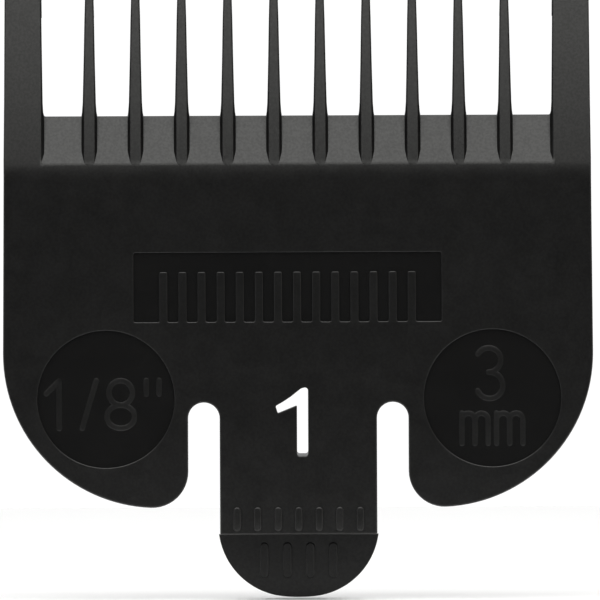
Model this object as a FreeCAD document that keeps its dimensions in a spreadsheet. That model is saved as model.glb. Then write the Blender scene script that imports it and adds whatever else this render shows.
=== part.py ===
"""Clipper guard comb, 3 mm: a moulded plastic guard that clips over the fixed blade of a hair clipper.

Row frame, in millimetres: the origin is the centre of the blade seat, on the plate's inner face. +X is to
the right when looking at the outer face, +Y runs from the outer face to the blade side, and +Z runs from
the thumb tab to the tooth tips.

The comb is one moulding. Its zones are separate solids that meet face to face: plate, front web, two
rails, ten teeth and the raised size marks belong to the comb body; tongue, heel wall, catch lip, thumb
tab and the grip bars belong to the release tongue, which bends outwards about its root.
"""
import FreeCAD, Part
import math
import os
from collections import namedtuple

import Sketcher
from FreeCAD import Placement, Rotation, Vector

TOOTH_COUNT = 10
SYMBOL_TOOTH_COUNT = 13
TONGUE_BAR_COUNT = 7
TAB_BAR_COUNT = 4

# alias: value, what it is. "up" and "down" are measured from the origin along Z, "deep" along +Y.
SIZES = {
    "plate_thick": (2.2, "plate, from its outer face to the blade seat"),
    "plate_half_wide": (22.9, "plate's half width where the front bend starts"),
    "bend_up": (8.0, "where the front bend starts"),
    "ear_half_wide": (23.0, "plate's half width at the ears: 46 mm, as the blade"),
    "ear_radius": (12.0, "outer round of an ear"),
    "ear_down": (5.6, "centre of the outer round"),
    "ear_tangent_out": (11.522, "where the outer round meets the small one"),
    "ear_tangent_down": (17.589, "where the outer round meets the small one"),
    "ear_corner": (2.8, "small round of an ear, beside the slot"),
    "ear_corner_down": (14.791, "centre of the small round"),
    "slot_out": (8.6, "slot's side on the ear"),
    "tongue_half_wide": (6.13, "slot's side on the tongue"),
    "slot_end_down": (10.62, "centre of a slot's round end"),
    "slot_radius": (1.235, "round end of a slot"),
    "root_down": (11.0, "line that the tongue bends about"),
    "tongue_thick": (1.3, "tongue, flush with the plate's outer face"),
    "relief_down": (8.6, "upper end of the thinned strip that the tongue springs from"),
    "tongue_end_down": (19.7, "tongue's end"),
    "digit_top_down": (8.25, "cut-out size number: top"),
    "digit_foot_down": (13.79, "cut-out size number: foot"),
    "digit_left": (0.1, "stem's left side, left of the middle"),
    "digit_right": (0.76, "stem's right side"),
    "digit_peak": (0.3, "where the flag's upper side meets the top"),
    "flag_out": (1.77, "flag's tip, left of the middle"),
    "flag_down": (9.68, "flag's tip, upper corner"),
    "flag_edge_out": (1.6, "flag's tip, lower corner"),
    "flag_edge_down": (10.23, "flag's tip, lower corner"),
    "flag_root_down": (9.62, "where the flag meets the stem"),
    "flag_radius": (6.0, "flag's hollow upper side"),
    "disc_out": (15.07, "centre of a size mark's recess"),
    "disc_down": (9.1, "centre of a size mark's recess"),
    "disc_radius": (5.35, "size mark's recess"),
    "disc_deep": (0.25, "size mark's recess"),
    "mark_high": (0.15, "raised characters, above the recess's floor"),
    "mark_stroke": (0.44, "width of the characters' strokes"),
    "symbol_deep": (0.2, "sunk comb symbol"),
    "symbol_left": (12.8, "comb symbol's left end"),
    "symbol_right": (11.2, "comb symbol's right end"),
    "symbol_up": (2.3, "comb symbol's upper side"),
    "symbol_spine": (1.5, "comb symbol: width of its spine"),
    "symbol_down": (3.1, "comb symbol: feet of its teeth"),
    "symbol_end": (2.0, "comb symbol: width of its end teeth"),
    "symbol_tooth": (0.85, "comb symbol: width of the other teeth"),
    "bend_radius": (8.0, "bend from the plate to the teeth, through 9 degrees"),
    "bend_end_deep": (-2.1015, "upper end of the bend"),
    "bend_end_up": (9.2515, "upper end of the bend, where the ramp and the teeth start"),
    "web_up": (13.0, "web's front edge, where the gaps between the teeth start"),
    "ramp_deep": (-0.35, "ramp at that edge"),
    "bevel_up": (11.9, "where the inner face starts to follow the blade's bevel"),
    "web_deep": (0.263, "inner face at the web's front edge"),
    "notch_up": (21.9, "closed end of the notch for the blade's tooth tips"),
    "notch_near": (2.39, "notch: side on the blade's bevel"),
    "notch_far": (3.3, "notch: side under the jaw's lip"),
    "lip_up": (20.8, "jaw lip's edge"),
    "lip_lead": (0.4, "lead-in chamfer of the jaw's lip"),
    "jaw_deep": (4.25, "back of the jaw and of the tooth's nose"),
    "tip_up": (32.65, "centre of the tip's round"),
    "tip_radius": (0.65, "tip's round"),
    "tip_start_deep": (2.972, "where the tip's round leaves the outer edge"),
    "tip_start_up": (32.818, "where the tip's round leaves the outer edge"),
    "crown_radius": (219.4, "slow curve of the outer edge"),
    "tooth_pitch": (3.602, "from tooth to tooth"),
    "tooth_wide": (1.24, "tooth's width on the ramp"),
    "flare_up": (15.0, "where the flare above the web ends"),
    "flare_wide": (0.95, "tooth's width there"),
    "waist_up": (22.0, "middle of the tooth"),
    "waist_wide": (0.62, "tooth's width there"),
    "end_up": (33.5, "just past the tips"),
    "end_wide": (0.5, "tooth's width there"),
    "rail_in": (19.74, "rail's inner side at the bend"),
    "rail_in_end": (20.07, "rail's inner side at the tips"),
    "rail_out_end": (22.8, "rail's outer side at the tips"),
    "seat_gap": (2.4, "from the blade seat to the catch: the thickness of the blade's heel"),
    "wall_thick": (1.1, "heel wall"),
    "tab_thick": (1.5, "thumb tab"),
    "tab_top_down": (18.1, "tab's upper edge, as wide as the tongue in front of it"),
    "tab_shoulder_out": (6.293, "half the tab's width at its shoulders"),
    "tab_shoulder_down": (19.75, "tab's shoulders, just past the tongue's end"),
    "tab_side_out": (0.67, "centre of a round side"),
    "tab_side_down": (19.02, "centre of a round side"),
    "tab_side_radius": (5.67, "tab's round sides"),
    "tab_foot_out": (1.26, "where a round side meets the flatter foot"),
    "tab_foot_start_down": (24.614, "where a round side meets the flatter foot"),
    "tab_foot_low": (24.68, "tab's lowest point"),
    "tab_foot_radius": (12.0, "tab's foot"),
    "lip_half_wide": (5.8, "half the catch lip's length"),
    "lip_high": (0.5, "catch lip, above the tab"),
    "lip_nose": (0.3, "catch lip: blunt front"),
    "bar_high": (0.15, "grip bars, above the surface"),
    "tongue_bar": (0.62, "width of a grip bar on the tongue"),
    "tongue_bar_pitch": (1.6, "from bar to bar on the tongue"),
    "tongue_bar_foot": (19.45, "bars' lower ends on the tongue"),
    "tongue_bar_long": (1.9, "bars' length on the tongue"),
    "tab_bar": (0.7, "width of a grip bar on the tab"),
    "tab_bar_pitch": (1.8, "from bar to bar on the tab"),
    "tab_bar_foot": (23.2, "bars' lower ends on the tab"),
    "tab_bar_long": (2.8, "bars' length on the tab"),
}


class Size:
    """A length: its number, and the formula in the sheet's names that the document keeps for it."""

    def __init__(self, number, formula):
        self.number = number
        self.formula = formula

    def __add__(self, other):
        other = as_size(other)
        return Size(self.number + other.number, f"({self.formula} + {other.formula})")

    def __sub__(self, other):
        return self + -as_size(other)

    def __neg__(self):
        return Size(-self.number, f"(-{self.formula})")

    def __mul__(self, factor):
        return Size(self.number * factor, f"({self.formula} * {factor})")


def as_size(length):
    return length if isinstance(length, Size) else Size(length, str(length))


class Sheet:
    """The document's spreadsheet. sheet.plate_thick is the Size of the cell with that alias."""

    def __init__(self, document, sizes):
        cells = document.addObject("Spreadsheet::Sheet", "Sizes")
        for row, (alias, (number, note)) in enumerate(sizes.items(), start=1):
            cells.set(f"A{row}", note)
            cells.set(f"B{row}", str(number))
            cells.setAlias(f"B{row}", alias)
            setattr(self, alias, Size(number, f"Sizes.{alias}"))
        document.recompute()


doc = FreeCAD.newDocument("guard_comb")
s = Sheet(doc, SIZES)


# Sketches: a closed outline whose corners are each dimensioned from the origin.

Corner = namedtuple("Corner", "across up radius through")


def line_to(across, up):
    """An outline's next corner, reached by a straight line."""
    return Corner(as_size(across), as_size(up), None, None)


def arc_to(across, up, radius, through):
    """An outline's next corner, reached by an arc. "through" is a point near the arc's middle."""
    return Corner(as_size(across), as_size(up), radius, Vector(*through, 0))


def half_round_to(across, up, through):
    """An outline's next corner, reached by half a circle that stands on a level line."""
    return Corner(as_size(across), as_size(up), None, Vector(*through, 0))


def add_outline(sketch, corners):
    """Draws the closed outline through the corners. The first corner is reached from the last one."""
    points = [Vector(corner.across.number, corner.up.number, 0) for corner in corners]
    first = sketch.GeometryCount
    for index, corner in enumerate(corners):
        start, end = points[index - 1], points[index]
        curve = Part.Arc(start, corner.through, end) if corner.through else Part.LineSegment(start, end)
        sketch.addGeometry(curve, False)
    for index, corner in enumerate(corners):
        here = first + index
        following = first + (index + 1) % len(corners)
        end_point = end_nearest(sketch, here, points[index])
        start_point = end_nearest(sketch, following, points[index])
        sketch.addConstraint(Sketcher.Constraint("Coincident", here, end_point, following, start_point))
        dimension(sketch, "DistanceX", (-1, 1, here, end_point), corner.across)
        dimension(sketch, "DistanceY", (-1, 1, here, end_point), corner.up)
        if corner.radius:
            dimension(sketch, "Radius", (here,), corner.radius)
        elif corner.through:
            dimension(sketch, "DistanceY", (-1, 1, here, 3), corner.up)


def end_nearest(sketch, curve, point):
    """1 for the curve's start point, 2 for its end point: an arc always runs anticlockwise."""
    distances = [sketch.getPoint(curve, end).distanceToPoint(point) for end in (1, 2)]
    return 1 + distances.index(min(distances))


def dimension(sketch, kind, elements, length):
    """One dimension of a sketch, bound to the sheet."""
    index = sketch.addConstraint(Sketcher.Constraint(kind, *elements, length.number))
    sketch.setExpression(f"Constraints[{index}]", length.formula)


def add_circle(sketch, across, up, radius):
    centre = Vector(across.number, up.number, 0)
    curve = sketch.addGeometry(Part.Circle(centre, Vector(0, 0, 1), radius.number))
    dimension(sketch, "DistanceX", (-1, 1, curve, 3), across)
    dimension(sketch, "DistanceY", (-1, 1, curve, 3), up)
    dimension(sketch, "Radius", (curve,), radius)


def box_outline(left, right, bottom, top):
    return [line_to(left, bottom), line_to(right, bottom), line_to(right, top), line_to(left, top)]


def mirrored(corners):
    """The same run of corners on the other side of the middle, in reverse order."""
    run = []
    for corner, following in zip(corners, corners[1:] + [line_to(0, 0)]):
        through = following.through and Vector(-following.through.x, following.through.y, 0)
        run.append(Corner(-corner.across, corner.up, following.radius, through))
    return run[::-1]


# Bodies drawn on the XZ plane, whose sketches look along +Y: across is X and up is Z.

def origin_plane(body, role):
    return next(feature for feature in body.Origin.OriginFeatures if feature.Role == role)


def plate_sketch(body, name, deep):
    """A sketch parallel to the plate, at a depth along +Y."""
    sketch = body.newObject("Sketcher::SketchObject", name)
    sketch.AttachmentSupport = (origin_plane(body, "XZ_Plane"), "")
    sketch.MapMode = "FlatFace"
    sketch.setExpression("AttachmentOffset.Base.z", (-as_size(deep)).formula)
    return sketch


def new_body(label):
    body = doc.addObject("PartDesign::Body", label)
    body.Label = label
    return body


def pad(body, name, deep, thick, outlines):
    """A pad that starts at a depth and grows outwards, along -Y."""
    sketch = plate_sketch(body, f"{name}Sketch", deep)
    for outline in outlines:
        add_outline(sketch, outline)
    feature = body.newObject("PartDesign::Pad", name)
    feature.Profile = sketch
    feature.setExpression("Length", thick.formula)
    doc.recompute()


def pocket(body, name, deep, thick, draw, inwards):
    """A pocket that starts at a depth and cuts inwards, along +Y, or outwards. It has to remove some."""
    before = body.Shape.Volume
    sketch = plate_sketch(body, f"{name}Sketch", deep)
    draw(sketch)
    feature = body.newObject("PartDesign::Pocket", name)
    feature.Profile = sketch
    feature.setExpression("Length", thick.formula)
    feature.Reversed = not inwards
    doc.recompute()
    if body.Shape.Volume > before - 1e-6:
        raise RuntimeError(f"{body.Label}: {name} cuts nothing")


# Solids that are one outline seen from the front and another seen from the side.

def crossed(label, front, side, across=0.0):
    """Where the front outline, run along Y, meets the side outline, run along X. It is moved across."""
    reach = 60  # longer than the comb is, either way
    prisms = []
    for view, outline, turn, way in (
        ("Front", front, Rotation(Vector(1, 0, 0), 90), Vector(0, 1, 0)),
        ("Side", side, Rotation(Vector(1, 1, 1), 120), Vector(1, 0, 0)),
    ):
        sketch = doc.addObject("Sketcher::SketchObject", f"{label}_{view}")
        sketch.Placement = Placement(Vector(0, 0, 0), turn)
        add_outline(sketch, outline)
        prism = doc.addObject("Part::Extrusion", f"{label}_{view}Prism")
        prism.Base = sketch
        prism.DirMode = "Custom"
        prism.Dir = way
        prism.LengthFwd = reach
        prism.Symmetric = True
        prism.Solid = True
        prisms.append(prism)
    common = doc.addObject("Part::Common", label)
    common.Base, common.Tool = prisms
    common.Label = label
    common.setExpression("Placement.Base.x", as_size(across).formula)
    return common


# The comb body.

def on_round(centre_across, centre_up, radius, degrees):
    """The point of a round at an angle from its right-hand side, anticlockwise."""
    turn = math.radians(degrees)
    return centre_across + radius * math.cos(turn), centre_up + radius * math.sin(turn)


def ear_run():
    """The plate's outline from the right slot, round the right ear and up to the front bend."""
    slot, corner, ear = s.slot_radius.number, s.ear_corner.number, s.ear_radius.number
    slot_top = on_round(s.slot_out.number - slot, -s.slot_end_down.number, slot, 90)
    corner_low = on_round(s.slot_out.number + corner, -s.ear_corner_down.number, corner, 225)
    ear_low = on_round(s.ear_half_wide.number - ear, -s.ear_down.number, ear, 315)
    return [
        line_to(s.tongue_half_wide, -s.root_down),
        line_to(s.tongue_half_wide, -s.slot_end_down),
        half_round_to(s.slot_out, -s.slot_end_down, slot_top),
        line_to(s.slot_out, -s.ear_corner_down),
        arc_to(s.ear_tangent_out, -s.ear_tangent_down, s.ear_corner, corner_low),
        arc_to(s.ear_half_wide, -s.ear_down, s.ear_radius, ear_low),
        line_to(s.plate_half_wide, s.bend_up),
    ]


def digit_outline():
    """The cut-out size number: a stem with a hollow-backed flag."""
    hollow = (-0.65, -9.0)
    return [
        line_to(-s.digit_left, -s.digit_foot_down),
        line_to(s.digit_right, -s.digit_foot_down),
        line_to(s.digit_right, -s.digit_top_down),
        line_to(s.digit_peak, -s.digit_top_down),
        arc_to(-s.flag_out, -s.flag_down, s.flag_radius, hollow),
        line_to(-s.flag_edge_out, -s.flag_edge_down),
        line_to(-s.digit_left, -s.flag_root_down),
    ]


def cut_digit(body):
    """The size number goes right through, from the blade seat outwards."""
    pocket(body, "Digit", 0, s.plate_thick, lambda sketch: add_outline(sketch, digit_outline()), False)


def draw_symbol(sketch):
    """The sunk comb symbol: a spine with teeth that point to the tab."""
    spine_low = s.symbol_up - s.symbol_spine
    right = s.symbol_right
    run = [line_to(-s.symbol_left, s.symbol_up), line_to(right, s.symbol_up)]
    run += [line_to(right, -s.symbol_down), line_to(right - s.symbol_end, -s.symbol_down)]
    run += [line_to(right - s.symbol_end, spine_low)]
    room = s.symbol_left + s.symbol_right - s.symbol_end * 2
    step = (room - s.symbol_tooth * SYMBOL_TOOTH_COUNT) * (1 / (SYMBOL_TOOTH_COUNT + 1))
    edge = right - s.symbol_end
    for tooth in range(SYMBOL_TOOTH_COUNT):
        near = edge - step
        far = near - s.symbol_tooth
        run += [line_to(near, spine_low), line_to(near, -s.symbol_down)]
        run += [line_to(far, -s.symbol_down), line_to(far, spine_low)]
        edge = far
    left_inner = s.symbol_end - s.symbol_left
    run += [line_to(left_inner, spine_low), line_to(left_inner, -s.symbol_down)]
    run += [line_to(-s.symbol_left, -s.symbol_down)]
    add_outline(sketch, run)


def draw_discs(sketch):
    for side in (-1, 1):
        add_circle(sketch, s.disc_out * side, -s.disc_down, s.disc_radius)


def draw_relief(sketch):
    """The strip above the tongue's root, thinned from the blade side so that it can bend."""
    wide = s.tongue_half_wide
    add_outline(sketch, box_outline(-wide, wide, -s.root_down, -s.relief_down))


def make_base_plate():
    body = new_body("base_plate")
    right = ear_run()
    pad(body, "Plate", 0, s.plate_thick, [right + mirrored(right)])
    cut_digit(body)
    pocket(body, "Relief", 0, s.plate_thick - s.tongue_thick, draw_relief, False)
    pocket(body, "SizeRecess", -s.plate_thick, s.disc_deep, draw_discs, True)
    pocket(body, "Symbol", -s.plate_thick, s.symbol_deep, draw_symbol, True)
    return body


def bend_arc():
    """The side outline's bend, from the plate's face up to the ramp."""
    radius = s.bend_radius.number
    middle = on_round(radius - s.plate_thick.number, s.bend_up.number, radius, 175)
    return arc_to(s.bend_end_deep, s.bend_end_up, s.bend_radius, middle)


def make_front_web():
    front = [
        line_to(-s.rail_in, s.bend_up),
        line_to(s.rail_in, s.bend_up),
        line_to(s.rail_in_end, s.end_up),
        line_to(-s.rail_in_end, s.end_up),
    ]
    side = [
        line_to(0, s.bend_up),
        line_to(-s.plate_thick, s.bend_up),
        bend_arc(),
        line_to(s.ramp_deep, s.web_up),
        line_to(s.web_deep, s.web_up),
        line_to(0, s.bevel_up),
    ]
    return crossed("front_web", front, side)


def nose_run():
    """A tooth's side outline from the end of the bend, over the tip and the jaw, down to the bevel."""
    crown = (0.15, 21.0)
    radius = s.tip_radius.number
    tip = on_round(s.jaw_deep.number - radius, s.tip_up.number, radius, 90)
    return [
        arc_to(s.tip_start_deep, s.tip_start_up, s.crown_radius, crown),
        arc_to(s.jaw_deep, s.tip_up, s.tip_radius, tip),
        line_to(s.jaw_deep, s.lip_up),
        line_to(s.notch_far + s.lip_lead, s.lip_up),
        line_to(s.notch_far, s.lip_up + s.lip_lead),
        line_to(s.notch_far, s.notch_up),
        line_to(s.notch_near, s.notch_up),
    ]


def make_rail(side_sign, label):
    inner, outer = s.rail_in * side_sign, s.plate_half_wide * side_sign
    inner_end, outer_end = s.rail_in_end * side_sign, s.rail_out_end * side_sign
    front = [
        line_to(inner, s.bend_up),
        line_to(outer, s.bend_up),
        line_to(outer_end, s.end_up),
        line_to(inner_end, s.end_up),
    ]
    side = [line_to(0, s.bend_up), line_to(-s.plate_thick, s.bend_up), bend_arc()]
    side += nose_run()
    side += [line_to(0, s.bevel_up)]
    return crossed(label, front, side)


def make_tooth(number):
    half_base, half_flare = s.tooth_wide * 0.5, s.flare_wide * 0.5
    half_waist, half_end = s.waist_wide * 0.5, s.end_wide * 0.5
    right = [
        line_to(half_base, s.bend_up),
        line_to(half_base, s.web_up),
        line_to(half_flare, s.flare_up),
        line_to(half_waist, s.waist_up),
        line_to(half_end, s.end_up),
    ]
    side = [line_to(s.bend_end_deep, s.bend_end_up)]
    side += nose_run()
    side += [line_to(s.web_deep, s.web_up), line_to(s.ramp_deep, s.web_up)]
    across = s.tooth_pitch * (number - (TOOTH_COUNT + 1) / 2)
    return crossed(f"tooth_{number:02d}", right + mirrored(right), side, across)


# The raised size marks: strokes with round ends, one solid for each character.

def bent_stroke(*curves):
    """The face that a pen of the stroke's width covers along joined curves that aren't all in one line."""
    path = Part.Wire([curve.toShape() for curve in curves])
    return Part.Face(path.makeOffset2D(s.mark_stroke.number / 2, 0, False, False))


def straight_stroke(start, end):
    """The same for one straight line: two parallel sides and two round ends."""
    pen = s.mark_stroke.number / 2
    start, end = Vector(*start, 0), Vector(*end, 0)
    along = (end - start).normalize() * pen
    aside = Vector(-along.y, along.x, 0)
    outline = [
        Part.LineSegment(start + aside, end + aside),
        Part.Arc(end + aside, end + along, end - aside),
        Part.LineSegment(end - aside, start - aside),
        Part.Arc(start - aside, start - along, start + aside),
    ]
    return Part.Face(Part.Wire([curve.toShape() for curve in outline]))


def segment(start, end):
    return Part.LineSegment(Vector(*start, 0), Vector(*end, 0))


def arc(start, middle, end):
    return Part.Arc(Vector(*start, 0), Vector(*middle, 0), Vector(*end, 0))


def ring(across, up, half_wide, half_high):
    """The face that the pen covers round an ellipse."""
    pen = s.mark_stroke.number / 2
    discs = []
    for edge in (pen, -pen):
        round_disc = Part.Face(Part.Wire(Part.makeCircle(1.0)))
        stretch = FreeCAD.Matrix()
        stretch.scale(half_wide + edge, half_high + edge, 1)
        stretch.move(Vector(across, up, 0))
        discs.append(round_disc.transformGeometry(stretch))
    return discs[0].cut(discs[1])


def letter_m(left, right, bottom, top):
    """The letter m as three legs under two arches."""
    reach = (right - left) / 4
    faces = [straight_stroke((left, bottom), (left, top))]
    for start in (left, left + 2 * reach):
        end = start + 2 * reach
        shoulder = top - reach
        arch = arc((start, shoulder), (start + reach, top), (end, shoulder))
        faces.append(bent_stroke(arch, segment((end, shoulder), (end, bottom))))
    return faces


def make_mark(label, characters):
    """The characters, each a list of stroke faces, raised from the recess's floor."""
    floor = s.disc_deep.number - s.plate_thick.number
    upright = Placement(Vector(0, floor, 0), Rotation(Vector(1, 0, 0), 90))
    solids = []
    for strokes in characters:
        raised = [stroke.extrude(Vector(0, 0, s.mark_high.number)) for stroke in strokes]
        solid = raised[0].fuse(raised[1:]).removeSplitter()
        solid.Placement = upright
        solids += solid.Solids
    feature = doc.addObject("Part::Feature", label)
    feature.Shape = Part.makeCompound(solids)
    feature.Label = label
    return feature


def make_inch_mark():
    """1/8 with two tick marks for inches, in the left recess."""
    middle, centre = -s.disc_out.number, -s.disc_down.number
    top, foot = centre + 1.45, centre - 2.25
    stem = middle - 3.65
    one = [bent_stroke(segment((stem - 1.0, top - 1.0), (stem, top)), segment((stem, top), (stem, foot)))]
    slash = [straight_stroke((middle - 1.85, foot), (middle - 0.75, top))]
    eight = [ring(middle + 1.15, centre + 0.5, 0.92, 0.95), ring(middle + 1.15, centre - 1.36, 1.08, 0.9)]
    ticks = [[straight_stroke((middle + tick, top), (middle + tick, top - 1.05))] for tick in (3.15, 4.15)]
    return make_mark("inch_mark", [one, slash, eight, *ticks])


def make_metric_mark():
    """3 mm on two lines, in the right recess."""
    middle, centre = s.disc_out.number, -s.disc_down.number
    waist = (middle - 0.3, centre + 2.0)
    upper = arc((middle - 1.12, centre + 3.43), (middle + 0.52, centre + 3.43), waist)
    lower = arc(waist, (middle + 0.6, centre + 0.27), (middle - 1.33, centre + 0.52))
    three = [bent_stroke(upper), bent_stroke(lower)]
    low, high = centre - 3.55, centre - 1.2
    left_m = letter_m(middle - 2.6, middle - 0.55, low, high)
    right_m = letter_m(middle + 0.35, middle + 2.4, low, high)
    return make_mark("metric_mark", [three, left_m, right_m])


# The release tongue.

def make_spring_tongue():
    body = new_body("spring_tongue")
    wide = s.tongue_half_wide
    outline = box_outline(-wide, wide, -s.tongue_end_down, -s.root_down)
    pad(body, "Tongue", s.tongue_thick - s.plate_thick, s.tongue_thick, [outline])
    cut_digit(body)
    return body


def make_heel_wall():
    body = new_body("heel_wall")
    wide = s.tongue_half_wide
    outline = box_outline(-wide, wide, -s.tongue_end_down, s.wall_thick - s.tongue_end_down)
    reach = s.seat_gap + s.plate_thick - s.tongue_thick
    pad(body, "Wall", s.seat_gap, reach, [outline])
    return body


def make_thumb_tab():
    body = new_body("thumb_tab")
    side = on_round(s.tab_side_out.number, -s.tab_side_down.number, s.tab_side_radius.number, 315)
    right = [
        line_to(s.tab_foot_out, -s.tab_foot_start_down),
        arc_to(s.tab_shoulder_out, -s.tab_shoulder_down, s.tab_side_radius, side),
        line_to(s.tongue_half_wide, -s.tab_shoulder_down),
        line_to(s.tongue_half_wide, -s.tab_top_down),
    ]
    lowest = (0, -s.tab_foot_low.number)
    foot = arc_to(s.tab_foot_out, -s.tab_foot_start_down, s.tab_foot_radius, lowest)
    outline = [foot] + right[1:] + mirrored(right)
    pad(body, "Tab", s.seat_gap + s.tab_thick, s.tab_thick, [outline])
    return body


def make_catch_lip():
    """The lip that holds the blade's heel down, sloped on its far side so that the heel can push past."""
    wide = s.lip_half_wide
    foot, crest = -s.tab_top_down, s.lip_high - s.tab_top_down
    front = box_outline(-wide, wide, foot, crest)
    side = [
        line_to(s.seat_gap, foot),
        line_to(s.seat_gap + s.tab_thick, foot),
        line_to(s.seat_gap + s.lip_nose, crest),
        line_to(s.seat_gap, crest),
    ]
    return crossed("catch_lip", front, side)


def bar_outlines(count, pitch, width, foot, length):
    """A row of upright bars with round ends, centred on the middle."""
    half = width * 0.5
    low, high = half - foot, length - foot - half
    outlines = []
    for index in range(count):
        middle = pitch * (index - (count - 1) / 2)
        left, right = middle - half, middle + half
        low_point = (middle.number, low.number - half.number)
        high_point = (middle.number, high.number + half.number)
        outlines.append([
            line_to(left, low),
            half_round_to(right, low, low_point),
            line_to(right, high),
            half_round_to(left, high, high_point),
        ])
    return outlines


def make_bars(label, surface, outlines):
    """Separate raised bars. Each is a prism, and the node is their compound."""
    bars = []
    for index, outline in enumerate(outlines, start=1):
        body = doc.addObject("PartDesign::Body", f"{label}_{index}")
        pad(body, f"{label}Bar{index}", surface, s.bar_high, [outline])
        bars.append(body)
    group = doc.addObject("Part::Compound", label)
    group.Links = bars
    group.Label = label
    return group


def make_grip_bars():
    tongue = bar_outlines(
        TONGUE_BAR_COUNT, s.tongue_bar_pitch, s.tongue_bar, s.tongue_bar_foot, s.tongue_bar_long
    )
    tab = bar_outlines(TAB_BAR_COUNT, s.tab_bar_pitch, s.tab_bar, s.tab_bar_foot, s.tab_bar_long)
    return [make_bars("tongue_grip", -s.plate_thick, tongue), make_bars("tab_grip", s.seat_gap, tab)]


def make_comb():
    """Every named zone of the comb."""
    zones = [make_base_plate(), make_front_web(), make_rail(-1, "left_rail"), make_rail(1, "right_rail")]
    zones += [make_tooth(number) for number in range(1, TOOTH_COUNT + 1)]
    zones += [make_inch_mark(), make_metric_mark()]
    zones += [make_spring_tongue(), make_heel_wall(), make_thumb_tab(), make_catch_lip()]
    zones += make_grip_bars()
    return zones


def check_document():
    for item in doc.Objects:
        if "Invalid" in item.State or "Error" in item.State:
            raise RuntimeError(f"{item.Label} failed: {item.State}")


def export(zones):
    os.makedirs("parts", exist_ok=True)
    for zone in zones:
        if zone.Shape.isNull() or not zone.Shape.isValid():
            raise RuntimeError(f"{zone.Label} has no valid shape")
    for zone in zones:
        zone.Shape.exportStep(f"parts/{zone.Label}.step")
        print(f"{zone.Label}: {zone.Shape.Volume:.2f} mm3, {len(zone.Shape.Solids)} solids")


comb = make_comb()
doc.recompute()
check_document()
export(comb)
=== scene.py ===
"""Clipper guard comb in black satin nylon: the moulding's visible pieces, its finishes and the studio.

Pieces are modelled in millimetres and brought to metres as they are finished. Front views are drawn in
X and Z and side views in Y and Z, in the frame's own directions.
"""
import math

import bmesh
import bpy
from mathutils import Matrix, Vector


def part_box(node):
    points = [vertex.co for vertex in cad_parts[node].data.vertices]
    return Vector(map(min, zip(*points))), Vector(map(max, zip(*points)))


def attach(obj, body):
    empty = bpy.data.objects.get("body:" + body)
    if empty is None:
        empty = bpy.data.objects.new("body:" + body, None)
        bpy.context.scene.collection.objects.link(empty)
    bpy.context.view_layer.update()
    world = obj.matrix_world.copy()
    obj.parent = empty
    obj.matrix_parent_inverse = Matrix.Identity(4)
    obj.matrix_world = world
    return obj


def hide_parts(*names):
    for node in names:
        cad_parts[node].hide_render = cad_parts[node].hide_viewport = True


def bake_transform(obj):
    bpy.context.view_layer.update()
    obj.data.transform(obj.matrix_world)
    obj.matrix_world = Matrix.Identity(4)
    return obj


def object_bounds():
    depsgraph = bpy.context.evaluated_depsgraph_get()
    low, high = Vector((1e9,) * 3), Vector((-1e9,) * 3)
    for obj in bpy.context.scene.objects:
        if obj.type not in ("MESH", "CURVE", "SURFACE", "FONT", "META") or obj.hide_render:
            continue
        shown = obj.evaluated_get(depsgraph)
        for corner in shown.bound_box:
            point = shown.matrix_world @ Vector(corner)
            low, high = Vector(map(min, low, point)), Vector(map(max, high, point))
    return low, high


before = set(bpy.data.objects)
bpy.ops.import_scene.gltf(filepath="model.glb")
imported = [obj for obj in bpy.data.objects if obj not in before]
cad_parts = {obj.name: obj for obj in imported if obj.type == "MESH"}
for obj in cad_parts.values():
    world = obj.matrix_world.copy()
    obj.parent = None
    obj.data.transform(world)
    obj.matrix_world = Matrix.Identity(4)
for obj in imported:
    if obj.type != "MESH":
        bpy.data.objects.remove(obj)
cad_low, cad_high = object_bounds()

MM = 0.001
COMB, TONGUE = "comb_body", "release_tongue"
TEETH = [f"tooth_{number:02d}" for number in range(1, 11)]


def box_mm(node):
    """A node's lowest and highest corners in millimetres."""
    return tuple(Vector(corner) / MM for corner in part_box(node))


PLATE_LOW, PLATE_HIGH = box_mm("base_plate")
RAIL_LOW, RAIL_HIGH = box_mm("right_rail")
TONGUE_LOW, TONGUE_HIGH = box_mm("spring_tongue")
WALL_LOW, WALL_HIGH = box_mm("heel_wall")
TAB_LOW, TAB_HIGH = box_mm("thumb_tab")
LIP_LOW, LIP_HIGH = box_mm("catch_lip")

# The plate.
FACE = PLATE_LOW.y                      # the outer face's depth
BEND = PLATE_HIGH.z                     # height where the front bend starts
PLATE_HALF_AT_BEND = RAIL_HIGH.x
EAR_HALF = PLATE_HIGH.x
EAR_RADIUS = 12.0
EAR_CORNER_RADIUS = 2.8
EAR_CORNER_X = 11.4                     # centre of an ear's small round, beside the slot
SLOT_OUTER = 8.6
SLOT_INNER = TONGUE_HIGH.x
SEAM = -10.62                           # the slots' round ends start here, and so does the tongue's bend
RELIEF_TOP = TONGUE_HIGH.z + 2.4        # the plate is as thin as the tongue up to here
EDGE_ROUND = 0.14
RIM_ROUND = 0.08                        # edges of everything sunk or cut in the outer face
EJECTOR_X, EJECTOR_Z = (-16, -5.5, 5.5, 16), (-3.5, 5.0)
EJECTOR_RADIUS, EJECTOR_DEEP = 1.25, 0.06

# The size number, cut right through: its corners, its rounds, and how far its foot's wall leans.
DIGIT = [(-0.1, -13.79), (0.76, -13.79), (0.76, -8.25), (0.3, -8.25), (-0.55, -8.93), (-1.2, -9.36),
         (-1.77, -9.68), (-1.6, -10.23), (-0.1, -9.62)]
DIGIT_FOOT_ROUND, DIGIT_SHOULDER_ROUND, DIGIT_CORNER_ROUND = 0.2, 0.28, 0.1
DIGIT_LEAN = 0.24

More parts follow.
